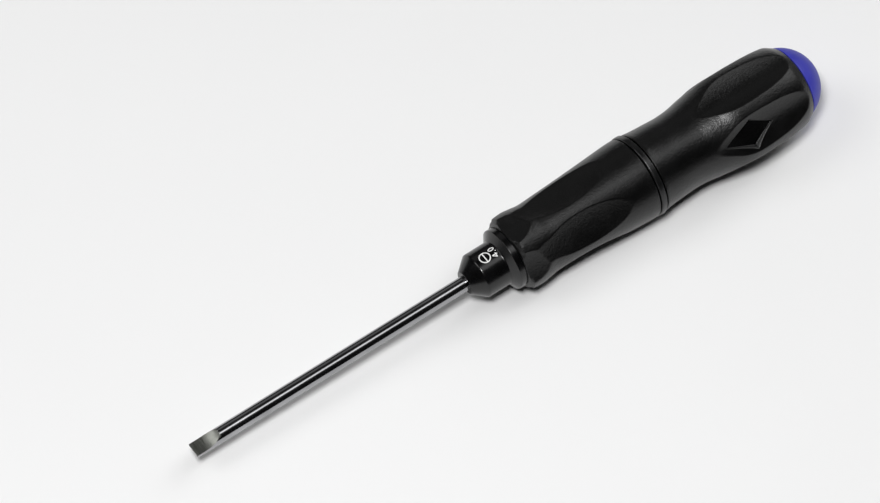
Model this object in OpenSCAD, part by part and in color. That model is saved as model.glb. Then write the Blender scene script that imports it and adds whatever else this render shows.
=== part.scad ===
// Slotted screwdriver with an interchangeable blade and a swivelling palm cap.
// The tool lies along +X with its blade tip at the origin; the blade's flats face up and down.

/* [Blade] */
// Diameter of the round shaft
shaft_d = 4.0; // [3.95:0.01:4.02]
// Length of shaft that stands out of the collar
exposed_l = 80; // [60:1:120]
// Length of shaft held inside the collar
tang_l = 28; // [26:0.5:28]
// Diameter of the tang, which is turned down from the shaft
tang_d = 3.6; // [3.4:0.05:3.6]
// Thickness of the blade at its tip
tip_t = 0.8; // [0.6:0.05:1.2]
// Length of the parallel tip before the grind begins
tip_flat_l = 2.2; // [1:0.1:4]
// Radius of the hollow grind
grind_r = 9; // [6:0.5:14]

/* [Collar] */
// Diameter of the collar's barrel
collar_d = 12.1; // [11:0.1:13]
// Diameter of the nose face
nose_d = 6.2; // [5.6:0.1:8]
// Diameter of the flange that meets the handle
flange_d = 16.6; // [15:0.1:16.8]

/* [Handle] */
// Outer diameter of the inner core
core_d = 14.9; // [14:0.1:14.9]
// Number of hollows round the front grip
front_hollows = 5; // [4:1:6]
// Number of hollows round the rear grip
rear_hollows = 6; // [5:1:6]
// Depth of the diamond recesses
recess_depth = 0.35; // [0.2:0.05:0.6]

/* [Cap] */
// Radius of the domed palm cap
dome_r = 10.35; // [10.2:0.05:10.6]
// Diameter of the stem that the cap turns on
stem_d = 5.0; // [4:0.1:5]

/* [Hidden] */
$fn = 96;

run_gap = 0.04;      // radial clearance of a shaft in its bore
fit_gap = 0.02;      // radial clearance of an assembled, fixed joint
over = 1;            // how far a cutter runs past the face it cuts
steps = 4;           // spline steps between two stations of a grip's outline

// stations along X
nose_x = exposed_l;
shaft_end_x = nose_x - 0.5;
barrel_x = nose_x + 3.5;
flare_x = barrel_x + 6.5;
flange_front_x = flare_x + 1.5;
flange_x = flange_front_x + 1.7;
grip_x = flange_x - 1.0;      // datum of the grips' outline stations
spigot_x = grip_x + 31.8;
front_end_x = grip_x + 40.2;
ring_x = front_end_x + 0.2;
ring_end_x = ring_x + 1.5;
rear_x = ring_end_x + 0.6;
rear_end_x = grip_x + 89.2;
cap_x = rear_end_x + 0.3;
dome_x = grip_x + 86.3;
core_end_x = rear_end_x - 1.0;
bolt_seat_x = grip_x + 56.8;

// radii
shaft_r = shaft_d / 2;
tang_r = tang_d / 2;
bore_r = tang_r + run_gap;
collar_r = collar_d / 2;
flange_r = flange_d / 2;
spigot_r = 5.98;
core_r = core_d / 2;
sleeve_r = core_r + 0.05;
ring_r = 11.3;
groove_r = 9.8;
front_face_r = 8.5;
front_bevel_r = 9.2;
front_end_r = 10.9;
rear_start_r = 10.8;

// set screw M3 x 4, pressing on a flat of the tang from below
screw_x = nose_x + 7.1;
screw_r = 1.5;
screw_l = 4;
flat_z = 1.6;
screw_top = -flat_z - 0.02;

// tie bolt M5 x 35
bolt_r = 2.5;
bolt_l = 35;
bolt_head_r = 4.25;
bolt_head_l = 5;
bolt_key_across = 4;
bolt_key_depth = 2.5;
thread_l = 13;
washer_t = 1;

// keys between the core and the grips
key_r = 8.1;
key_w = 1.6;

// outline stations of the grips: position from the datum, radius
front_outline = [[1.9, 10.12], [2.8, 10.2], [5, 10.2], [7.4, 9.92], [9.8, 9.62], [14, 9.78], [25.4, 10.35],
                 [37.3, 11.1], [39.8, 11.15]];
rear_outline = [[42.8, 10.95], [44.8, 10.7], [48.8, 10.45], [53.3, 10.25], [57.3, 10.55], [60.3, 11.15],
                [63.3, 11.85], [66.3, 12.7], [69.3, 13.15], [73, 13.2], [77.5, 13.0], [80.8, 12.7],
                [83.8, 12.2], [86.8, 11.4], [89.2, 10.05]];

// hollows of the front grip: a shallow dish, longer than wide, sunk into the tapering grip
front_phase = 52;
dish_x = grip_x + 20.2;
dish_floor = 8.58;
dish_long_r = 51;
dish_cross_r = 32;
dish_tilt = 3.6;
dish_span = 60;

// short hollows in the front swell, which slope like a bevel
rim_phase = 60.5;
rim_x = grip_x + 3.8;
rim_floor = 8.95;
rim_long_r = 60;
rim_tilt = 10.8;
rim_span = 12;

// hollows of the rear grip: straight, with two flanks that meet in a shallow valley
rear_phase = -4.5;
valley_r = 10.85;
flank_r = 20;
flank_tilt = 5;

// diamond recess in two opposite hollows of the rear grip
recess_phase = rear_phase + 60;
recess_side = 0.2;
recess_x = rear_x + 18.8;
recess_tip_x = rear_x + 33.7;
recess_mid_x = rear_x + 27.2;
recess_half_w = 4.1;
recess_floor = valley_r - 0.05 - recess_depth;

// cap parts
hub_head_r = 4;
hub_head_x = dome_x + 7;
bush_r = 5;
bush_x = core_end_x - 15.5;
bush_flange_t = 0.6;
bush_flange_r = core_r - 0.45;
thrust_t = 0.45;
clip_x = bush_x - 1.0;
clip_t = 0.8;
clip_groove_r = 1.7;
clip_r = 4.2;
clip_mouth = 2.2;
stem_x = clip_x - 1.1;
cap_wall_x = dome_x + 5.5;
cap_pocket_in = 5.4;
cap_pocket_out = 7.6;

function slope(s, i) =
    let (a = s[max(i - 1, 0)], b = s[min(i + 1, len(s) - 1)]) (b[1] - a[1]) / (b[0] - a[0]);
function hermite(p, q, mp, mq, t) =
    let (h = q[0] - p[0])
    [p[0] + h * t,
     (2 * t * t * t - 3 * t * t + 1) * p[1] + (t * t * t - 2 * t * t + t) * h * mp
     + (3 * t * t - 2 * t * t * t) * q[1] + (t * t * t - t * t) * h * mq];
function smooth(s) = concat(
    [for (i = [0 : len(s) - 2], k = [0 : steps - 1])
        hermite(s[i], s[i + 1], slope(s, i), slope(s, i + 1), k / steps)],
    [s[len(s) - 1]]);

// a solid of revolution about X from points [x, radius]
module turned(points) {
    rotate([0, 90, 0]) rotate_extrude() polygon([for (p = points) [p[1], p[0]]]);
}

// a plain round bar along X
module bar(x1, x2, r) {
    translate([x1, 0, 0]) rotate([0, 90, 0]) cylinder(r = r, h = x2 - x1);
}

// a washer or tube along X
module tube(x1, x2, r_out, r_in) {
    difference() {
        bar(x1, x2, r_out);
        bar(x1 - over, x2 + over, r_in);
    }
}

// copies round X; angle 0 faces up and positive angles turn towards -Y
module around(count, phase) {
    for (i = [0 : count - 1]) rotate([phase + i * 360 / count, 0, 0]) children();
}

// hexagonal prism along X, measured across its flats
module hex_bar(x1, x2, across) {
    translate([x1, 0, 0]) rotate([0, 90, 0]) cylinder(d = across / cos(30), h = x2 - x1, $fn = 6);
}

module blade() {
    color("dimgray") difference() {
        union() {
            bar(0, shaft_end_x, shaft_r);
            bar(shaft_end_x - over, nose_x + tang_l, tang_r);
        }
        for (side = [-1, 1]) {
            translate([-over, -shaft_d, side > 0 ? tip_t / 2 : -tip_t / 2 - shaft_d])
                cube([tip_flat_l + over, 2 * shaft_d, shaft_d]);
            translate([tip_flat_l, 0, side * (tip_t / 2 + grind_r)])
                rotate([90, 0, 0]) cylinder(r = grind_r, h = 3 * shaft_d, center = true);
        }
        translate([nose_x + 4.5, -shaft_d, -flat_z - shaft_d]) cube([tang_l, 2 * shaft_d, shaft_d]);
    }
}

module collar() {
    color([0.08, 0.08, 0.09]) difference() {
        turned([[nose_x, 0], [nose_x, nose_d / 2 - 0.2], [nose_x + 0.2, nose_d / 2], [barrel_x, collar_r],
                [flare_x, collar_r], [flange_front_x, flange_r], [flange_x, flange_r], [flange_x, spigot_r],
                [spigot_x, spigot_r], [spigot_x, 0]]);
        bar(nose_x - over, nose_x + tang_l + 0.2, bore_r);
        bar(spigot_x - thread_l, spigot_x + over, bolt_r);
        translate([screw_x, 0, -collar_r - over]) cylinder(r = screw_r, h = collar_r + over);
    }
}

module set_screw() {
    socket_across = 1.5;
    socket_depth = 1.2;
    color([0.15, 0.15, 0.16]) difference() {
        translate([screw_x, 0, screw_top - screw_l]) cylinder(r = screw_r - fit_gap, h = screw_l);
        translate([screw_x, 0, screw_top - screw_l - over])
            cylinder(d = socket_across / cos(30), h = socket_depth + over, $fn = 6);
    }
}

// a ring of keys along X that stop a grip from turning on the core
module keys(x1, x2, count, phase, grow) {
    root = 0.6;
    around(count, phase) translate([x1, -key_w / 2 - grow, core_r - root])
        cube([x2 - x1, key_w + 2 * grow, key_r - core_r + root + grow]);
}

module front_keys(grow) {
    keys(flange_x + 0.5, flange_x + 8, front_hollows, front_phase + 180 / front_hollows, grow);
}

module rear_keys(grow) {
    keys(grip_x + 64, grip_x + 83, rear_hollows, rear_phase + 180 / rear_hollows, grow);
}

module handle_core() {
    color("slategray") difference() {
        union() {
            bar(flange_x, core_end_x, core_r);
            front_keys(0);
            rear_keys(0);
        }
        bar(flange_x - over, spigot_x, spigot_r + fit_gap);
        bar(spigot_x - over, bolt_seat_x + over, bolt_r + 0.25);
        bar(bolt_seat_x, core_end_x + over, bush_r);
    }
}

// one dished hollow of the front grip, opening upwards, with its floor rising towards the cap
module dish(x, floor_r, long_r, tilt, span) {
    translate([x, 0, floor_r]) rotate([0, -tilt, 0]) translate([0, 0, dish_cross_r]) rotate([0, 90, 0])
        rotate_extrude() intersection() {
            translate([dish_cross_r - long_r, 0]) circle(r = long_r);
            translate([0, -span / 2]) square([dish_cross_r + over, span]);
        }
}

module front_grip() {
    color([0.05, 0.05, 0.06]) difference() {
        turned(concat([[flange_x, 0], [flange_x, front_face_r], [flange_x + 0.25, front_bevel_r]],
                      [for (p = smooth(front_outline)) [grip_x + p[0], p[1]]],
                      [[front_end_x, front_end_r], [front_end_x, 0]]));
        bar(flange_x - over, front_end_x + over, sleeve_r);
        front_keys(0.05);
        around(front_hollows, front_phase) dish(dish_x, dish_floor, dish_long_r, dish_tilt, dish_span);
        around(front_hollows, rim_phase) dish(rim_x, rim_floor, rim_long_r, rim_tilt, rim_span);
    }
}

module spacer_ring() {
    edge = 0.2;
    color([0.12, 0.12, 0.13]) difference() {
        turned([[ring_x, 0], [ring_x, ring_r - edge], [ring_x + edge, ring_r], [ring_end_x - edge, ring_r],
                [ring_end_x, ring_r - edge], [ring_end_x, 0]]);
        bar(ring_x - over, ring_end_x + over, sleeve_r);
    }
}

// one straight hollow of the rear grip, opening upwards
module valley() {
    translate([rear_x, 0, valley_r + flank_r * cos(flank_tilt)]) rotate([90, 0, 90])
        linear_extrude(height = rear_end_x - rear_x + over) intersection() {
            translate([flank_r * sin(flank_tilt), 0]) circle(r = flank_r);
            translate([-flank_r * sin(flank_tilt), 0]) circle(r = flank_r);
        }
}

// kite-shaped recess in a hollow of the rear grip, opening upwards
module recess() {
    cut_h = 4;
    translate([0, -recess_side, recess_floor]) linear_extrude(height = cut_h)
        polygon([[recess_x, 0], [recess_mid_x, recess_half_w], [recess_tip_x, 0],
                 [recess_mid_x, -recess_half_w]]);
}

module rear_grip() {
    color([0.05, 0.05, 0.06]) difference() {
        turned(concat([[ring_end_x, 0], [ring_end_x, groove_r], [rear_x, groove_r], [rear_x, rear_start_r]],
                      [for (p = smooth(rear_outline)) [grip_x + p[0], p[1]]],
                      [[rear_end_x, 0]]));
        bar(ring_end_x - over, rear_end_x + over, sleeve_r);
        rear_keys(0.05);
        around(rear_hollows, rear_phase) valley();
        around(2, recess_phase) recess();
    }
}

module tie_bolt() {
    head_x = bolt_seat_x + washer_t;
    color("silver") difference() {
        union() {
            bar(head_x - bolt_l, head_x + over, bolt_r - fit_gap);
            bar(head_x, head_x + bolt_head_l, bolt_head_r);
        }
        hex_bar(head_x + bolt_head_l - bolt_key_depth, head_x + bolt_head_l + over, bolt_key_across);
    }
}

module clamp_washer() {
    color("silver") tube(bolt_seat_x, bolt_seat_x + washer_t, bush_r - 0.1, bolt_r + 0.15);
}

module cap_bush() {
    color("goldenrod") difference() {
        union() {
            bar(bush_x, core_end_x, bush_r - fit_gap);
            bar(core_end_x, core_end_x + bush_flange_t, bush_flange_r);
        }
        bar(bush_x - over, core_end_x + bush_flange_t + over, stem_d / 2 + run_gap);
    }
}

module thrust_washer() {
    start = core_end_x + bush_flange_t;
    color("white") tube(start, start + thrust_t, bush_flange_r, stem_d / 2 + 0.1);
}

module cap_hub() {
    color("silver") difference() {
        union() {
            bar(stem_x, cap_x + over, stem_d / 2);
            bar(cap_x + 0.05, hub_head_x - 0.1, hub_head_r - fit_gap);
        }
        tube(clip_x, clip_x + clip_t + 0.05, stem_d, clip_groove_r);
    }
}

// spring clip with an open side, in the stem's groove
module retaining_ring() {
    color("silver") difference() {
        tube(clip_x + 0.02, clip_x + clip_t, clip_r, clip_groove_r + fit_gap);
        translate([clip_x - over, -clip_mouth / 2, 0]) cube([clip_t + 2 * over, clip_mouth, clip_r + over]);
    }
}

module end_cap() {
    color([0.10, 0.11, 0.55]) rotate([0, 90, 0]) rotate_extrude() difference() {
        intersection() {
            translate([0, dome_x]) circle(r = dome_r);
            translate([0, cap_x]) square([dome_r + over, dome_r]);
        }
        translate([-over, cap_x - over]) square([hub_head_r + over, hub_head_x - cap_x + over]);
        translate([cap_pocket_in, cap_x - over])
            square([cap_pocket_out - cap_pocket_in, cap_wall_x - cap_x + over]);
    }
}

blade();
collar();
set_screw();
handle_core();
front_grip();
spacer_ring();
rear_grip();
tie_bolt();
clamp_washer();
cap_bush();
thrust_washer();
cap_hub();
retaining_ring();
end_cap();
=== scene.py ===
"""The look of a slotted screwdriver: collar, blade, moulded grips, cap, studio light and camera."""

import math

import bpy
from mathutils import Matrix, Vector


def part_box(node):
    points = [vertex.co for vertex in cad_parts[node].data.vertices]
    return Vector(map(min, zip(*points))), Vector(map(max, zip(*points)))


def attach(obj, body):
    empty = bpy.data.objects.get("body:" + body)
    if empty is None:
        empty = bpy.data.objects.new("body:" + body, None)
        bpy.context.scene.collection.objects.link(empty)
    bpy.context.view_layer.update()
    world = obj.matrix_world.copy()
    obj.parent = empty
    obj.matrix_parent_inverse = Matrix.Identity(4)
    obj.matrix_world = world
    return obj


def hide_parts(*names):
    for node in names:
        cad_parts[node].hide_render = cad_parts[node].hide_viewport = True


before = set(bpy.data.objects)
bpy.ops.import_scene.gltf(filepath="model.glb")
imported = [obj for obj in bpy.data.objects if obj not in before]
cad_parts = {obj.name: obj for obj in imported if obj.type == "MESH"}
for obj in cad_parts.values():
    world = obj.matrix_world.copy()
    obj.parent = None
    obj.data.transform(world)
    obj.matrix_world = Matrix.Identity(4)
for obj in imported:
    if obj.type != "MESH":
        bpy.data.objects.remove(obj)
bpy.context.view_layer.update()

MM = 0.001
TURN = 2 * math.pi
NO_CUT = 1.0  # a radius far outside the tool, where a cutter misses

# ---------------------------------------------------------------- stations, all from the frame
TIP_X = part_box("blade")[0][0]
BLADE_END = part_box("blade")[1][0]
SHAFT_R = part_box("blade")[1][1]
NOSE_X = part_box("collar")[0][0]
SPIGOT_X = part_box("collar")[1][0]
FLANGE_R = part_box("collar")[1][1]
FLANGE_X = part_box("front_grip")[0][0]
GRIP_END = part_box("front_grip")[1][0]
RING_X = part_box("spacer_ring")[0][0]
RING_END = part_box("spacer_ring")[1][0]
RING_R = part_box("spacer_ring")[1][1]
REAR_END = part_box("rear_grip")[1][0]
CAP_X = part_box("end_cap")[0][0]
CAP_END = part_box("end_cap")[1][0]
CORE_R = 7.5 * MM
TANG_R = 1.8 * MM

BARREL_X = NOSE_X + 3.5 * MM
FLARE_X = NOSE_X + 10.0 * MM
FLANGE_FRONT_X = NOSE_X + 11.5 * MM
GRIP_X = FLANGE_X - 1.0 * MM
COLLAR_R = 6.05 * MM
SPIGOT_R = 5.98 * MM
REAR_X = RING_END + 0.6 * MM


# ---------------------------------------------------------------- outlines
def hermite_outline(stations, step):
    """A smooth line through [x, r] stations, with a point about every step."""
    def slope(i):
        a = stations[max(i - 1, 0)]
        b = stations[min(i + 1, len(stations) - 1)]
        return (b[1] - a[1]) / (b[0] - a[0])

    points = []
    for i in range(len(stations) - 1):
        (x0, r0), (x1, r1) = stations[i], stations[i + 1]
        span = x1 - x0
        count = max(1, round(span / step))
        for k in range(count):
            t = k / count
            t2, t3 = t * t, t * t * t
            r = ((2 * t3 - 3 * t2 + 1) * r0 + (t3 - 2 * t2 + t) * span * slope(i)
                 + (3 * t2 - 2 * t3) * r1 + (t3 - t2) * span * slope(i + 1))
            points.append((x0 + span * t, r))
    points.append(tuple(stations[-1]))
    return points


def filleted(corners, arc_steps=5):
    """An open or closed outline of (x, r, fillet) corners, with each corner rounded by its fillet."""
    points = []
    count = len(corners)
    for i, (x, r, fillet) in enumerate(corners):
        here = Vector((x, r))
        if fillet == 0:
            points.append((x, r))
            continue
        before = Vector(corners[i - 1][:2]) - here
        after = Vector(corners[(i + 1) % count][:2]) - here
        start = here + before.normalized() * fillet
        end = here + after.normalized() * fillet
        for k in range(arc_steps + 1):
            t = k / arc_steps
            p = start * (1 - t) ** 2 + here * 2 * t * (1 - t) + end * t * t
            points.append((p.x, p.y))
    return points


# ---------------------------------------------------------------- meshes
def make_object(name, verts, faces, sharp_angle=30):
    mesh = bpy.data.meshes.new(name)
    mesh.from_pydata(verts, [], faces)
    mesh.validate()
    mesh.update()
    mesh.shade_smooth()
    mesh.set_sharp_from_angle(angle=math.radians(sharp_angle))
    obj = bpy.data.objects.new(name, mesh)
    bpy.context.scene.collection.objects.link(obj)
    return obj


def around_x(x, r, angle):
    """Point at radius r; angle 0 is up and positive angles turn towards -Y."""
    return (x, -r * math.sin(angle), r * math.cos(angle))


def loft(name, rings, sharp_angle=30, closed_loop=True):
    """Skins equal rings of points. closed_loop joins the last ring to the first, as on a tube's wall."""
    n = len(rings[0])
    verts = [v for ring in rings for v in ring]
    faces = []
    last = len(rings) if closed_loop else len(rings) - 1
    for i in range(last):
        a, b = i * n, ((i + 1) % len(rings)) * n
        for k in range(n):
            m = (k + 1) % n
            faces.append((a + k, a + m, b + m, b + k))
    if not closed_loop:
        faces.append(tuple(range(n - 1, -1, -1)))
        faces.append(tuple(range(len(verts) - n, len(verts))))
    return make_object(name, verts, faces, sharp_angle)


def lathe(name, outline, sides):
    """Revolves a closed outline of (x, r) points that stays off the axis."""
    rings = [[around_x(x, r, TURN * k / sides) for k in range(sides)] for x, r in outline]
    return loft(name, rings)


def dome_lathe(name, outline, sides):
    """Revolves an open outline whose two ends lie on the axis."""
    verts, faces = [(outline[0][0], 0, 0)], []
    for x, r in outline[1:-1]:
        verts += [around_x(x, r, TURN * k / sides) for k in range(sides)]
    verts.append((outline[-1][0], 0, 0))
    rows = len(outline) - 2
    for k in range(sides):
        m = (k + 1) % sides
        faces.append((0, 1 + m, 1 + k))
        for i in range(rows - 1):
            a, b = 1 + i * sides, 1 + (i + 1) * sides
            faces.append((a + k, a + m, b + m, b + k))
        end = 1 + (rows - 1) * sides
        faces.append((end + k, end + m, len(verts) - 1))
    return make_object(name, verts, faces)


def smooth_min(a, b, k):
    """The lower of two values, blended where they differ by less than k."""
    h = max(k - abs(a - b), 0) / k
    return min(a, b) - h * h * k / 4


def smooth_step(low, high, value):
    t = min(max((value - low) / (high - low), 0), 1)
    return t * t * (3 - 2 * t)


def angle_off(angle, centre):
    """Signed angle from centre, from minus to plus half a turn."""
    return (angle - centre + math.pi) % TURN - math.pi


def scallop_radius(centre_r, cut_r, off):
    """Distance from the axis to a round cutter of radius cut_r whose centre is centre_r away."""
    reach = cut_r * cut_r - (centre_r * math.sin(off)) ** 2
    if reach <= 0 or abs(off) > math.pi / 2:
        return NO_CUT
    return centre_r * math.cos(off) - math.sqrt(reach)


def spaced_angles(coarse, fine, fine_centres, fine_half):
    """Angles round the axis, closer together within fine_half of each fine centre."""
    angles, angle = [], 0.0
    while angle < TURN - coarse * 0.3:
        angles.append(angle)
        near = any(abs(angle_off(angle, c)) < fine_half for c in fine_centres)
        angle += fine if near else coarse
    return angles


# ---------------------------------------------------------------- material nodes
class Nodes:
    """Short calls for building one procedural material."""

    def __init__(self, name, **sockets):
        self.mat = bpy.data.materials.new(name)
        self.mat.use_nodes = True
        self.tree = self.mat.node_tree
        self.bsdf = self.tree.nodes["Principled BSDF"]
        for key, value in sockets.items():
            self.bsdf.inputs[key.replace("_", " ")].default_value = value
        self.coords = self.add("ShaderNodeTexCoord").outputs["Object"]
        self.bump = None

    def add(self, kind, **values):
        node = self.tree.nodes.new(kind)
        for key, value in values.items():
            if key in node.inputs:
                node.inputs[key].default_value = value
            else:
                setattr(node, key, value)
        return node

    def link(self, output, socket):
        self.tree.links.new(output, socket)

    def stretched(self, scale):
        node = self.add("ShaderNodeMapping")
        node.inputs["Scale"].default_value = scale
        self.link(self.coords, node.inputs["Vector"])
        return node.outputs["Vector"]

    def noise(self, scale, detail=3, roughness=0.55, vector=None, distortion=0.0):
        node = self.add("ShaderNodeTexNoise", Scale=scale, Detail=detail, Roughness=roughness,
                        Distortion=distortion)
        self.link(vector or self.coords, node.inputs["Vector"])
        return node.outputs["Fac"]

    def voronoi(self, scale):
        node = self.add("ShaderNodeTexVoronoi", Scale=scale)
        self.link(self.coords, node.inputs["Vector"])
        return node.outputs["Distance"]

    def spread(self, value, low, high, to_low, to_high):
        node = self.add("ShaderNodeMapRange")
        for key, number in (("From Min", low), ("From Max", high), ("To Min", to_low), ("To Max", to_high)):
            node.inputs[key].default_value = number
        self.link(value, node.inputs["Value"])
        return node.outputs["Result"]

    def colours(self, value, stops):
        node = self.add("ShaderNodeValToRGB")
        ramp = node.color_ramp
        while len(ramp.elements) < len(stops):
            ramp.elements.new(0.5)
        for element, (place, colour) in zip(ramp.elements, stops):
            element.position = place
            element.color = (*colour, 1)
        self.link(value, node.inputs["Fac"])
        return node.outputs["Color"]

    def blend(self, factor, first, second):
        node = self.add("ShaderNodeMix", data_type="RGBA")
        self.link(factor, node.inputs[0])
        self.link(first, node.inputs[6])
        self.link(second, node.inputs[7])
        return node.outputs[2]

    def sum(self, first, second, weight):
        node = self.add("ShaderNodeMath", operation="MULTIPLY_ADD")
        self.link(second, node.inputs[0])
        node.inputs[1].default_value = weight
        self.link(first, node.inputs[2])
        return node.outputs[0]

    def raise_by(self, height, distance):
        """Adds one layer of bump; distance is the height in metres."""
        node = self.add("ShaderNodeBump", Strength=1.0, Distance=distance)
        self.link(height, node.inputs["Height"])
        if self.bump is not None:
            self.link(self.bump, node.inputs["Normal"])
        self.bump = node.outputs["Normal"]

    def finish(self, colour, roughness=None):
        self.link(colour, self.bsdf.inputs["Base Color"])
        if roughness is not None:
            self.link(roughness, self.bsdf.inputs["Roughness"])
        if self.bump is not None:
            self.link(self.bump, self.bsdf.inputs["Normal"])
        return self.mat


def grip_plastic(name, shade, rough_low, rough_high, grain=1.0, shine=0.5):
    """Black moulded plastic with a spark-eroded grain and faint handling marks."""
    m = Nodes(name, Specular_IOR_Level=shine, IOR=1.5)
    grain_fine = m.noise(5200, 2, 0.6)
    grain_cell = m.voronoi(3300)
    cloud = m.noise(160, 4, 0.6)
    scuff = m.noise(1, 5, 0.7, m.stretched((300, 1800, 1800)))
    base = m.colours(cloud, [(0.3, tuple(0.75 * c for c in shade)), (0.7, tuple(1.35 * c for c in shade))])
    dusty = m.colours(scuff, [(0.62, (0, 0, 0)), (0.78, (1, 1, 1))])
    pale = m.colours(grain_fine, [(0.0, tuple(2.4 * c for c in shade)), (1.0, tuple(3.6 * c for c in shade))])
    colour = m.blend(m.spread(dusty, 0, 1, 0, 0.35), base, pale)
    rough = m.sum(m.spread(cloud, 0.3, 0.7, rough_low, rough_high), grain_fine, 0.06)
    m.raise_by(grain_cell, 0.000020 * grain)
    m.raise_by(grain_fine, 0.000014 * grain)
    m.raise_by(m.noise(1500, 2), 0.000060 * grain)
    m.raise_by(m.noise(90, 2), 0.00006)
    return m.finish(colour, rough)


def polished_shaft(name):
    """Dark nickel-plated steel with fine marks along the bar from drawing and polishing."""
    m = Nodes(name, Metallic=1.0, Anisotropic=0.6, Anisotropic_Rotation=0.25)
    around = m.add("ShaderNodeTangent", direction_type="RADIAL", axis="X")
    m.link(around.outputs["Tangent"], m.bsdf.inputs["Tangent"])
    drawn = m.noise(1, 3, 0.6, m.stretched((35, 5200, 5200)))
    rubbed = m.noise(1, 3, 0.6, m.stretched((5200, 500, 500)))
    cloud = m.noise(120, 4)
    colour = m.colours(m.sum(cloud, drawn, 0.35), [(0.35, (0.26, 0.26, 0.27)), (0.9, (0.40, 0.40, 0.41))])
    rough = m.sum(m.spread(cloud, 0.3, 0.7, 0.14, 0.17), rubbed, 0.04)
    m.raise_by(drawn, 0.0000005)
    m.raise_by(rubbed, 0.0000003)
    return m.finish(colour, rough)


def ground_tip(name):
    """The tip's hollow grind: darker, with grinding marks across the blade."""
    m = Nodes(name, Metallic=1.0, Anisotropic=0.2)
    across = m.noise(1, 4, 0.65, m.stretched((6500, 260, 900)))
    coarse = m.noise(1, 2, 0.5, m.stretched((1700, 150, 400)))
    cloud = m.noise(420, 4)
    colour = m.colours(m.sum(cloud, across, 0.5), [(0.35, (0.12, 0.124, 0.108)), (1.0, (0.27, 0.275, 0.255))])
    rough = m.spread(across, 0.3, 0.75, 0.26, 0.42)
    m.raise_by(across, 0.0000035)
    m.raise_by(coarse, 0.0000040)
    return m.finish(colour, rough)


def anodised(name):
    """Black anodised aluminium with the fine rings that turning leaves."""
    m = Nodes(name, Specular_IOR_Level=0.5)
    rings = m.noise(1, 3, 0.6, m.stretched((9000, 60, 60)))
    pores = m.noise(4200, 2, 0.6)
    cloud = m.noise(260, 4)
    dark, light = (0.0010, 0.0010, 0.0011), (0.0040, 0.0040, 0.0044)
    colour = m.colours(m.sum(cloud, rings, 0.3), [(0.35, dark), (0.95, light)])
    rough = m.sum(m.spread(cloud, 0.3, 0.7, 0.16, 0.22), pores, 0.04)
    m.raise_by(rings, 0.0000022)
    m.raise_by(pores, 0.0000025)
    return m.finish(colour, rough)


def mark_paint(name):
    """White paint in the size mark, slightly uneven."""
    m = Nodes(name)
    cloud = m.noise(2600, 3)
    colour = m.colours(cloud, [(0.3, (0.78, 0.78, 0.77)), (0.7, (0.92, 0.92, 0.91))])
    m.raise_by(cloud, 0.000004)
    return m.finish(colour, m.spread(cloud, 0.3, 0.7, 0.42, 0.58))


def cap_plastic(name):
    """Blue moulded plastic: satin, with a faint grain and flow marks spreading from the centre."""
    m = Nodes(name, Specular_IOR_Level=0.45)
    grain_fine = m.noise(4600, 2, 0.6)
    cloud = m.noise(210, 4, 0.6)
    flow = m.noise(1, 3, 0.5, m.stretched((900, 130, 130)), 0.4)
    tone = m.sum(cloud, flow, 0.4)
    colour = m.colours(tone, [(0.35, (0.026, 0.028, 0.34)), (0.95, (0.044, 0.047, 0.47))])
    rough = m.sum(m.spread(cloud, 0.3, 0.7, 0.42, 0.50), grain_fine, 0.05)
    m.raise_by(grain_fine, 0.000006)
    m.raise_by(m.noise(110, 2), 0.00004)
    return m.finish(colour, rough)


def plain_metal(name, low, high, rough):
    """Small turned fittings: plated steel or bronze."""
    m = Nodes(name, Metallic=1.0)
    rings = m.noise(1, 3, 0.6, m.stretched((7000, 90, 90)))
    cloud = m.noise(600, 4)
    m.raise_by(rings, 0.000003)
    colour = m.colours(cloud, [(0.3, low), (0.7, high)])
    return m.finish(colour, m.spread(cloud, 0.3, 0.7, rough, rough + 0.12))


def plain_polymer(name, low, high, rough):
    """Inner nylon and acetal pieces."""
    m = Nodes(name)
    grain_fine = m.noise(3000, 3)
    cloud = m.noise(240, 4)
    m.raise_by(grain_fine, 0.000008)
    colour = m.colours(cloud, [(0.3, low), (0.7, high)])
    return m.finish(colour, m.spread(grain_fine, 0.3, 0.7, rough, rough + 0.15))


def floor_paint(name):
    """Matt off-white, faintly clouded."""
    m = Nodes(name, Roughness=0.75, Specular_IOR_Level=0.2)
    cloud = m.noise(6, 3)
    colour = m.colours(cloud, [(0.3, (0.89, 0.89, 0.89)), (0.7, (0.91, 0.91, 0.91))])
    return m.finish(colour)


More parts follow.
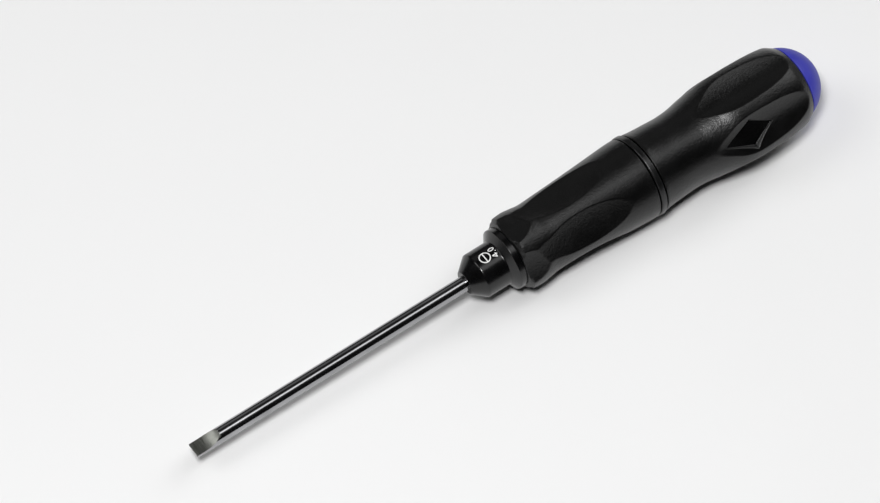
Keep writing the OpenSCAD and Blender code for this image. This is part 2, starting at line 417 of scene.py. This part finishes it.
# ---------------------------------------------------------------- pieces
def build_blade():
    """Round shaft, hollow grind and flat tip, with the tang's flat for the set screw."""
    tip_half = 0.4 * MM
    flat_l = 2.2 * MM
    grind_r = 9 * MM
    edge = 0.06 * MM
    tang_flat = 1.6 * MM
    step_x = NOSE_X - 0.5 * MM
    tang_x = NOSE_X + 4.5 * MM
    bevel_x = BLADE_END - edge * 5
    hair = 0.001 * MM
    grind_end = flat_l + math.sqrt(grind_r ** 2 - (tip_half + grind_r - SHAFT_R) ** 2)
    arc_count = 28
    last_flat_angle = math.radians(83)

    def half_height(x):
        if x <= flat_l:
            return tip_half
        if x >= grind_end:
            return 2 * SHAFT_R
        return tip_half + grind_r - math.sqrt(grind_r ** 2 - (x - flat_l) ** 2)

    def half_round(limit, radius):
        """Angles from 0 to just under half a turn: side arc, flat at height limit, side arc."""
        corner = min(math.asin(min(limit / radius, 1)), last_flat_angle)
        near = [corner * k / arc_count for k in range(arc_count)]
        flat = [corner + (math.pi - 2 * corner) * k / arc_count for k in range(arc_count)]
        far = [math.pi - corner * (1 - k / arc_count) for k in range(arc_count)]
        return near + flat + far

    def section(x, radius, up, down):
        """A loop round the bar, cut flat at heights up and -down."""
        angles = half_round(up, radius) + [math.pi]
        angles += [-a for a in reversed(half_round(down, radius)[1:])]
        return [(x, radius * math.cos(a), max(min(radius * math.sin(a), up), -down)) for a in angles]

    xs = [0.0, edge * 0.4, edge]
    xs += [edge + (flat_l - edge) * k / 10 for k in range(1, 11)]
    xs += [flat_l + (grind_end - flat_l) * k / 60 for k in range(1, 61)]
    xs += [grind_end + (step_x - grind_end) * k / 90 for k in range(1, 91)]
    xs += [step_x + hair, tang_x, tang_x + hair]
    xs += [tang_x + (bevel_x - tang_x) * k / 24 for k in range(1, 25)]
    xs += [BLADE_END - edge * 2.5, BLADE_END]
    rings = []
    for x in xs:
        inset = 0.0
        if x < edge:
            inset = edge * (1 - x / edge) * 0.9
        if x > bevel_x:
            inset = (x - bevel_x) * 0.7
        height = half_height(x)
        up = height - inset if height < SHAFT_R else height
        down = tang_flat if x > tang_x + hair / 2 else up
        radius = SHAFT_R if x < step_x + hair / 2 else TANG_R
        rings.append(section(x + TIP_X, radius - inset, up, down))
    obj = loft("blade_steel_bar", rings, 25, closed_loop=False)
    obj.data.materials.append(polished_shaft("blade_polished"))
    obj.data.materials.append(ground_tip("blade_ground"))
    ground_slope, ground_reach = 0.72, SHAFT_R * 0.985
    for poly in obj.data.polygons:
        flat = abs(poly.normal.z) > ground_slope and abs(poly.center.z) < ground_reach
        if poly.center.x < TIP_X + grind_end and flat or poly.center.x < TIP_X + edge:
            poly.material_index = 1
    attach(obj, "blade")
    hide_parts("blade")


def build_collar():
    """Nose, cone, barrel, flare and flange, bored for the blade and tapped for the set screw."""
    bore_r = TANG_R + 0.04 * MM
    corners = [
        (NOSE_X, bore_r + 0.12 * MM, 0), (NOSE_X, 3.1 * MM, 0.18 * MM), (BARREL_X, COLLAR_R, 0.3 * MM),
        (FLARE_X, COLLAR_R, 0.3 * MM), (FLANGE_FRONT_X, FLANGE_R, 0.12 * MM), (FLANGE_X, FLANGE_R, 0.1 * MM),
        (FLANGE_X, SPIGOT_R, 0.1 * MM), (SPIGOT_X, SPIGOT_R, 0.3 * MM), (SPIGOT_X, bore_r, 0),
        (NOSE_X + 0.15 * MM, bore_r, 0)]
    obj = lathe("collar_turned", filleted(corners), 220)
    screw_x = NOSE_X + 7.1 * MM
    near_axis, hole_r, hole_l = 0.0002 * MM, 1.5 * MM, 6 * MM
    drill = lathe("collar_drill", [(0, near_axis), (0, hole_r), (hole_l, hole_r), (hole_l, near_axis)], 64)
    drill.rotation_euler = (0, math.pi / 2, 0)
    drill.location = (screw_x, 0, -2.4 * MM)
    cut_with(obj, [drill])
    obj.data.materials.append(anodised("collar_anodised"))
    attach(obj, "handle")
    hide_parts("collar")


def cut_with(obj, cutters):
    """Subtracts the cutters from obj and deletes them."""
    for cutter in cutters:
        modifier = obj.modifiers.new("cut", "BOOLEAN")
        modifier.operation = "DIFFERENCE"
        modifier.solver = "EXACT"
        modifier.object = cutter
    bpy.context.view_layer.update()
    graph = bpy.context.evaluated_depsgraph_get()
    mesh = bpy.data.meshes.new_from_object(obj.evaluated_get(graph))
    obj.modifiers.clear()
    obj.data = mesh
    obj.data.set_sharp_from_angle(angle=math.radians(30))
    for cutter in cutters:
        bpy.data.objects.remove(cutter, do_unlink=True)


# ---------------------------------------------------------------- size mark
def ring_stroke(radius_a, radius_b, count):
    """An oval drawn flat as (along the axis, round the barrel) points, in millimetres."""
    turns = [TURN * k / count for k in range(count)]
    return [(radius_a * math.cos(a), radius_b * math.sin(a)) for a in turns]


def ribbon(points, width, closed):
    """Left and right edges of a stroke of the given width."""
    edges = []
    count = len(points)
    for i, p in enumerate(points):
        here = Vector(p)
        before = Vector(points[i - 1]) if closed or i > 0 else here
        after = Vector(points[(i + 1) % count]) if closed or i < count - 1 else here
        into = (here - before).normalized() if here != before else (after - here).normalized()
        out = (after - here).normalized() if after != here else into
        along = (into + out).normalized()
        side = Vector((-along.y, along.x))
        reach = width / 2 / max(side.dot(Vector((-into.y, into.x))), 0.35)
        edges.append((here + side * reach, here - side * reach))
    return edges


def build_mark():
    """A slot-head symbol and the blade's size, painted on top of the barrel."""
    lift = 0.02 * MM
    sink = 0.05 * MM
    turn = math.radians(-2)
    symbol_x = NOSE_X + 6.2 * MM
    text_x = NOSE_X + 8.75 * MM
    # each stroke: its place along the axis, place round the barrel, points, width, and whether it closes
    strokes = [
        (symbol_x, 0.1, ring_stroke(1.40, 1.40, 56), 0.30, True),
        (symbol_x, 0.1, [(0.0, -1.3), (0.0, 1.3)], 0.30, False),
        (text_x, -0.82, [(-0.74, 0.26), (0.74, 0.26)], 0.27, False),
        (text_x, -0.82, [(0.30, -0.60), (0.30, 0.62)], 0.25, False),
        (text_x, -0.82, [(-0.68, 0.20), (0.30, -0.52)], 0.25, False),
        (text_x, 0.28, [(0.62, 0.0), (0.88, 0.0)], 0.26, False),
        (text_x, 1.22, ring_stroke(0.73, 0.38, 32), 0.27, True)]
    verts, faces = [], []
    for x0, v0, points, width, closed in strokes:
        if not closed and len(points) == 2:
            a, b = Vector(points[0]), Vector(points[1])
            points = [tuple(a.lerp(b, t / 4)) for t in range(5)]
        edges = ribbon(points, width, closed)
        start = len(verts)
        for left, right in edges:
            for r, p in ((COLLAR_R + lift, left), (COLLAR_R + lift, right),
                         (COLLAR_R - sink, right), (COLLAR_R - sink, left)):
                angle = turn - (v0 + p[1]) * MM / COLLAR_R
                verts.append(around_x(x0 + p[0] * MM, r, angle))
        count = len(edges)
        for i in range(count if closed else count - 1):
            a, b = start + 4 * i, start + 4 * ((i + 1) % count)
            for k in range(4):
                m = (k + 1) % 4
                faces.append((a + k, b + k, b + m, a + m))
        if not closed:
            faces.append((start, start + 1, start + 2, start + 3))
            end = start + 4 * (count - 1)
            faces.append((end + 3, end + 2, end + 1, end))
    obj = make_object("size_mark", verts, faces, 40)
    obj.data.materials.append(mark_paint("mark_white"))
    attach(obj, "handle")


# ---------------------------------------------------------------- grips
# outlines before the hollows are cut: distance behind the grip's datum, and radius, in millimetres
FRONT_STATIONS = [
    (1.9, 10.12), (2.8, 10.2), (5, 10.2), (7.4, 9.92), (9.8, 9.62), (14, 9.78), (25.4, 10.35), (37.3, 11.1),
    (39.8, 11.15)]
REAR_STATIONS = [
    (42.8, 10.95), (44.8, 10.7), (48.8, 10.45), (53.3, 10.25), (57.3, 10.55), (60.3, 11.15), (63.3, 11.85),
    (66.3, 12.7), (69.3, 13.15), (73, 13.2), (77.5, 13.0), (80.8, 12.7), (83.8, 12.2), (86.8, 11.4),
    (89.2, 10.05)]


def stations(table):
    """A table of outline stations in the frame's metres."""
    return [(GRIP_X + x * MM, r * MM) for x, r in table]


def grip_mesh(name, outline, radius_at, angles):
    """A grip as rings of points; radius_at(x, r, angle) sinks the hollows into the turned outline."""
    rings = [[around_x(x, radius_at(x, r, a), a) for a in angles] for x, r in outline]
    return loft(name, rings, 40)


FRONT_HOLLOWS = 5
GRIP_BLACK = (0.0009, 0.0009, 0.00095)
GRIP_GLOSS = (0.26, 0.33)
GRIP_SHINE = 0.46
HOLLOW_MARGIN = 0.02
DISH_CROSS_R = 32 * MM
DISH_BLEND = 0.12 * MM
# long dishes, then the short ones in the swell: angle of the first, middle, floor radius, slope of the floor
# towards the cap, lengthwise radius, and how far behind the middle the dish may reach
DISHES = (
    (math.radians(52), GRIP_X + 20.2 * MM, 8.58 * MM, math.tan(math.radians(3.6)), 51 * MM, 16 * MM),
    (math.radians(60.5), GRIP_X + 3.8 * MM, 8.95 * MM, math.tan(math.radians(10.8)), 60 * MM, 6 * MM))


def front_radius(x, r, angle):
    """The front grip's long dishes and the short dishes in its swell."""
    if r < 8.6 * MM:
        return r
    for k in range(FRONT_HOLLOWS):
        for phase, middle, floor_r, slope, long_r, reach in DISHES:
            off = angle_off(angle, phase + k * TURN / FRONT_HOLLOWS)
            dx = x - middle
            if abs(off) < TURN / FRONT_HOLLOWS / 2 + HOLLOW_MARGIN and dx < reach:
                centre = floor_r + DISH_CROSS_R + slope * dx
                cut = DISH_CROSS_R - dx * dx / (2 * long_r)
                r = smooth_min(r, scallop_radius(centre, cut, off), DISH_BLEND)
    return r


def build_front_grip():
    """The front shell: turned outline, bevelled front face and rounded rear edge."""
    corners = [
        (FLANGE_X, CORE_R, 0), (FLANGE_X, 8.5 * MM, 0.1 * MM), (FLANGE_X + 0.25 * MM, 9.2 * MM, 0.15 * MM),
        (GRIP_X + 1.9 * MM, 10.12 * MM, 0)]
    rear_edge = [
        (GRIP_END - 0.6 * MM, 11.15 * MM, 0), (GRIP_END, 11.08 * MM, 0.5 * MM), (GRIP_END, CORE_R, 0)]
    outline = filleted(corners)[:-1]
    outline += hermite_outline(stations(FRONT_STATIONS), 0.22 * MM)
    outline += filleted(rear_edge)[1:]
    angles = [TURN * k / 480 for k in range(480)]
    obj = grip_mesh("front_grip_shell", outline, front_radius, angles)
    obj.data.materials.append(grip_plastic("grip_front_plastic", GRIP_BLACK, *GRIP_GLOSS, shine=GRIP_SHINE))
    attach(obj, "handle")
    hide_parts("front_grip")


REAR_HOLLOWS = 6
REAR_PHASE = math.radians(-4.5)
RECESS_PHASE = REAR_PHASE + TURN / REAR_HOLLOWS
RECESS_SIDE = 0.2 * MM
RECESS_START = RING_END + 19.4 * MM
RECESS_MID = RING_END + 27.8 * MM
RECESS_TIP = RING_END + 34.3 * MM
RECESS_HALF_W = 4.1 * MM
RECESS_FLOOR_R = 10.45 * MM
VALLEY_R = 10.85 * MM
FLANK_R = 20 * MM
FLANK_TILT = math.radians(5)


def kite_depth(x, y):
    """How far a point lies inside the kite outline; negative outside."""
    if x < RECESS_MID:
        length = RECESS_MID - RECESS_START
        along = x - RECESS_START
    else:
        length = RECESS_TIP - RECESS_MID
        along = RECESS_TIP - x
    return (along * RECESS_HALF_W - abs(y) * length) / math.hypot(RECESS_HALF_W, length)


def flank_radius(off, side):
    """Distance from the axis to one flank of a hollow: a round cutter whose centre lies to one side."""
    centre_y = -side * FLANK_R * math.sin(FLANK_TILT)
    centre_z = VALLEY_R + FLANK_R * math.cos(FLANK_TILT)
    along = centre_y * math.sin(off) + centre_z * math.cos(off)
    reach = FLANK_R * FLANK_R - (centre_y ** 2 + centre_z ** 2 - along ** 2)
    return along - math.sqrt(reach) if reach > 0 else NO_CUT


def rear_radius(x, r, angle):
    """The rear grip's straight hollows and the kite-shaped recess in two of them."""
    if r < 9.9 * MM:
        return r
    land = r
    for k in range(REAR_HOLLOWS):
        off = angle_off(angle, REAR_PHASE + k * TURN / REAR_HOLLOWS)
        if abs(off) < TURN / REAR_HOLLOWS / 2 + HOLLOW_MARGIN:
            hollow = -smooth_min(-flank_radius(off, 1), -flank_radius(off, -1), 0.3 * MM)
            r = smooth_min(r, hollow, 0.16 * MM)
    for centre in (RECESS_PHASE, RECESS_PHASE + math.pi):
        off = angle_off(angle, centre)
        if abs(off) < math.radians(30) and RECESS_START - MM < x < RECESS_TIP + MM:
            inside = kite_depth(x, land * 0.9 * math.sin(off) - RECESS_SIDE)
            sunk = min(RECESS_FLOOR_R / math.cos(off), r)
            r += (sunk - r) * smooth_step(-0.02 * MM, 0.14 * MM, inside)
    return r


def build_rear_grip():
    """The rear shell: a groove behind the ring, the turned outline, and glossy recess floors."""
    groove_r = 9.8 * MM
    corners = [
        (RING_END, CORE_R, 0), (RING_END, groove_r, 0), (REAR_X, groove_r, 0.05 * MM),
        (REAR_X, 10.93 * MM, 0.14 * MM), (GRIP_X + 42.8 * MM, 10.95 * MM, 0)]
    rear_edge = [
        (REAR_END - 0.4 * MM, 10.3 * MM, 0), (REAR_END, 10.0 * MM, 0.15 * MM), (REAR_END, CORE_R, 0)]
    outline = filleted(corners)[:-1]
    for x, r in hermite_outline(stations(REAR_STATIONS), 0.11 * MM):
        fine = RECESS_START - MM < x < RECESS_TIP + MM
        if fine or x - outline[-1][0] > 0.2 * MM:
            outline.append((x, r))
    outline += filleted(rear_edge)[1:]
    angles = spaced_angles(math.radians(0.8), math.radians(0.45), (RECESS_PHASE, RECESS_PHASE + math.pi),
                           math.radians(23))
    obj = grip_mesh("rear_grip_shell", outline, rear_radius, angles)
    obj.data.materials.append(grip_plastic("grip_rear_plastic", GRIP_BLACK, *GRIP_GLOSS, shine=GRIP_SHINE))
    obj.data.materials.append(grip_plastic("recess_plastic", (0.0016, 0.0016, 0.0017), 0.12, 0.16, 0.2, 0.2))
    floor_way = Vector(around_x(0, 1, RECESS_PHASE))
    floor_top, floor_facing = RECESS_FLOOR_R + 0.07 * MM, 0.97
    for poly in obj.data.polygons:
        low = abs(poly.center.dot(floor_way)) < floor_top
        level = abs(poly.normal.dot(floor_way)) > floor_facing
        if low and level and RECESS_START < poly.center.x < RECESS_TIP:
            poly.material_index = 1
    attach(obj, "handle")
    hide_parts("rear_grip")


def build_ring():
    """The spacer ring, rounded in front and sharper behind."""
    corners = [
        (RING_X, CORE_R, 0), (RING_X, RING_R, 0.45 * MM),
        (RING_END, RING_R, 0.14 * MM), (RING_END, CORE_R, 0)]
    obj = lathe("spacer_ring_turned", filleted(corners), 240)
    obj.data.materials.append(grip_plastic("ring_plastic", (0.003, 0.003, 0.0032), 0.24, 0.30, 0.6))
    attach(obj, "handle")
    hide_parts("spacer_ring")


def build_cap():
    """Domed cap with a small round at its rim, a socket for the hub and a moulding pocket behind."""
    dome_r = 10.35 * MM
    dome_x = CAP_END - dome_r
    rim_angle = math.acos((CAP_X + 0.25 * MM - dome_x) / dome_r)
    arc = [(dome_x + dome_r * math.cos(a), dome_r * math.sin(a))
           for a in (rim_angle * (1 - k / 40) for k in range(40))]
    rim_r = math.sqrt(dome_r ** 2 - (CAP_X - dome_x) ** 2)
    rim = filleted([(CAP_X, 8 * MM, 0), (CAP_X, rim_r, 0.2 * MM), arc[0] + (0,)])[:-1]
    socket_x, socket_r = CAP_X + 3.8 * MM, 4 * MM
    pocket_x, pocket_in, pocket_out = CAP_X + 2.3 * MM, 5.4 * MM, 7.6 * MM
    inner = [
        (socket_x, 0), (socket_x, socket_r), (CAP_X, socket_r), (CAP_X, pocket_in), (pocket_x, pocket_in),
        (pocket_x, pocket_out), (CAP_X, pocket_out)]
    outline = inner + rim[1:] + arc + [(CAP_END, 0)]
    obj = dome_lathe("end_cap_dome", outline, 200)
    obj.data.materials.append(cap_plastic("cap_blue_plastic"))
    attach(obj, "cap")
    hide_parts("end_cap")


def dress_inner_parts():
    """Materials for the fittings that stay as designed."""
    plated = plain_metal("plated_steel", (0.52, 0.52, 0.53), (0.66, 0.66, 0.66), 0.28)
    looks = {
        "set_screw": plain_metal("black_oxide_steel", (0.035, 0.035, 0.04), (0.07, 0.07, 0.075), 0.35),
        "handle_core": plain_polymer("core_nylon", (0.08, 0.085, 0.09), (0.11, 0.115, 0.12), 0.45),
        "tie_bolt": plated, "clamp_washer": plated, "cap_hub": plated, "retaining_ring": plated,
        "cap_bush": plain_metal("sintered_bronze", (0.50, 0.32, 0.14), (0.66, 0.45, 0.22), 0.38),
        "thrust_washer": plain_polymer("acetal", (0.80, 0.80, 0.78), (0.88, 0.88, 0.86), 0.35)}
    for node, material in looks.items():
        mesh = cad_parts[node].data
        mesh.materials.clear()
        mesh.materials.append(material)


# ---------------------------------------------------------------- stage, light and camera
# the floor touches the front swell and the rear bulge
SWELL_X, SWELL_Z = 95.7 * MM, -10.215 * MM
BULGE_X, BULGE_Z = 161.9 * MM, -12.41 * MM
FLOOR_HALF = 1.5
ROOM_GLOW = 0.008
CAMERA_AZIMUTH = math.radians(-35.3)
CAMERA_ELEVATION = math.radians(60)
CAMERA_DISTANCE = 0.8916
CAMERA_AIM = Vector((80.25 * MM, 10.9 * MM, 0))
CAMERA_LENS = 147.3


def towards(azimuth, elevation):
    """Unit vector; azimuth 0 looks from -Y and grows towards +X."""
    return Vector((math.sin(azimuth) * math.cos(elevation), -math.cos(azimuth) * math.cos(elevation),
                   math.sin(elevation)))


def build_stage():
    """A pale floor, tilted so that the bulge and the front swell both touch it."""
    corners = [(-FLOOR_HALF, -FLOOR_HALF), (FLOOR_HALF, -FLOOR_HALF), (FLOOR_HALF, FLOOR_HALF),
               (-FLOOR_HALF, FLOOR_HALF)]
    slope = (BULGE_Z - SWELL_Z) / (BULGE_X - SWELL_X)
    verts = [(x, y, BULGE_Z + (x - BULGE_X) * slope) for x, y in corners]
    floor = make_object("floor", verts, [(0, 1, 2, 3)])
    floor.data.materials.append(floor_paint("floor_white"))


def add_light(name, direction, distance, along, across, watts):
    """A soft rectangular light that faces the tool. Its first side runs along X as far as it can."""
    data = bpy.data.lights.new(name, "AREA")
    data.shape = "RECTANGLE"
    data.size = along
    data.size_y = across
    data.energy = watts
    obj = bpy.data.objects.new(name, data)
    facing = Vector(direction).normalized()
    side = (Vector((1, 0, 0)) - facing * facing.x).normalized()
    obj.matrix_world = Matrix((side, facing.cross(side), facing)).transposed().to_4x4()
    obj.location = CAMERA_AIM + facing * distance
    bpy.context.scene.collection.objects.link(obj)


def build_lights():
    add_light("key", (-0.265, -0.245, 0.933), 1.0, 0.18, 0.18, 6.4)
    add_light("strip", (0.289, -0.165, 0.943), 1.2, 1.0, 0.42, 2.2)
    add_light("far_wall", (0.289, 0.76, 0.58), 1.3, 1.6, 0.7, 0.70)
    add_light("left_top", (-0.52, 0.35, 0.78), 1.4, 0.7, 0.7, 3.7)
    add_light("right_end", (0.8, 0.05, 0.6), 1.4, 0.8, 0.8, 4.2)
    world = bpy.data.worlds.new("room")
    world.use_nodes = True
    background = world.node_tree.nodes["Background"]
    background.inputs["Color"].default_value = (1, 1, 1, 1)
    background.inputs["Strength"].default_value = ROOM_GLOW
    bpy.context.scene.world = world
    bpy.context.scene.view_settings.view_transform = "Standard"


def build_camera():
    """The camera at the photo's angle, fitted to the tool's outline."""
    data = bpy.data.cameras.new("camera")
    data.lens = CAMERA_LENS
    data.clip_start = 0.01
    camera = bpy.data.objects.new("camera", data)
    direction = towards(CAMERA_AZIMUTH, CAMERA_ELEVATION)
    camera.location = CAMERA_AIM + direction * CAMERA_DISTANCE
    camera.rotation_euler = direction.to_track_quat("Z", "Y").to_euler()
    bpy.context.scene.collection.objects.link(camera)
    bpy.context.scene.camera = camera


build_blade()
build_collar()
build_mark()
build_front_grip()
build_ring()
build_rear_grip()
build_cap()
dress_inner_parts()
build_stage()
build_lights()
build_camera()

bpy.context.view_layer.update()
